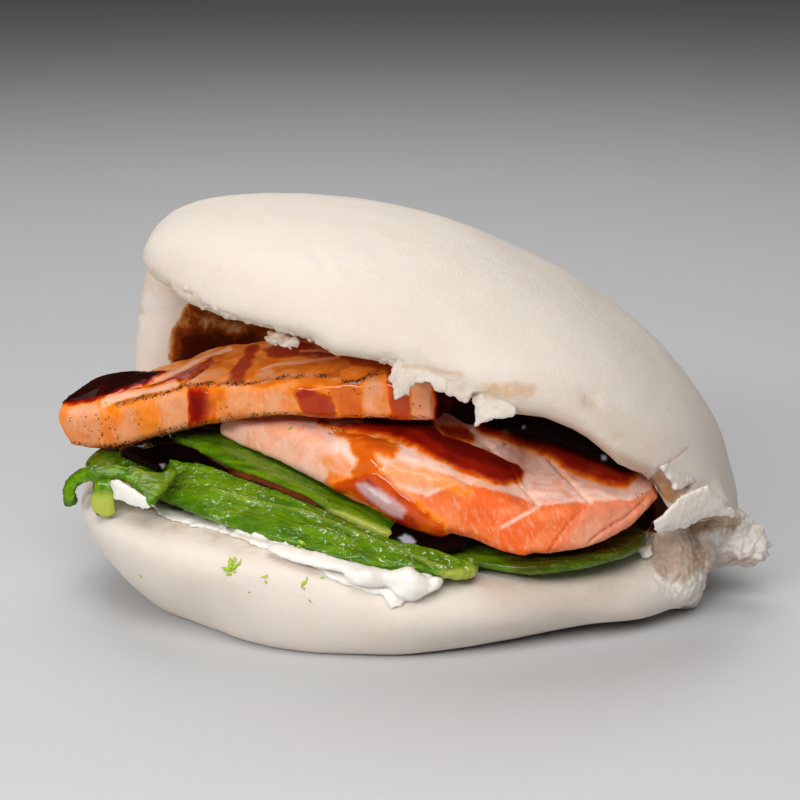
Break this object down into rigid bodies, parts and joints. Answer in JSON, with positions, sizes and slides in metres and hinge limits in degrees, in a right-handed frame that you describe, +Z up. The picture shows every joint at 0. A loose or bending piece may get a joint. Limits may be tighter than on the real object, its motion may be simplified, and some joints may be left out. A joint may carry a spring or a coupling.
{
  "type": "bao bun",
  "caption": "Filled steamed bao bun: a soft bun folded at its back and torn at one end, with glazed salmon slices, green slices and cream in its open mouth.",
  "frame": {"origin": "bottom centre of the whole part's box, on the surface it lies on", "axes": "+X to the torn right end, where the lid slopes down; +Y to the hinge at the back; +Z up; the open mouth faces -Y and -X"},
  "size_m": [0.1134, 0.0818, 0.0637],
  "materials": {
    "bun": "soft, matte steamed skin, with torn white crumb at the tears",
    "salmon": "moist flaky fish under a dark glossy glaze",
    "green_slices": "wet, glossy vegetable slices",
    "cream": "smooth, moist white cream"
  },
  "bodies": {
    "root": {"bun": "bun", "salmon_upper": "salmon", "salmon_lower": "salmon", "green_front": "green_slices", "green_back": "green_slices", "green_low": "green_slices", "green_left": "green_slices", "cream_front": "cream", "cream_left": "cream"}
  },
  "joints": []
}
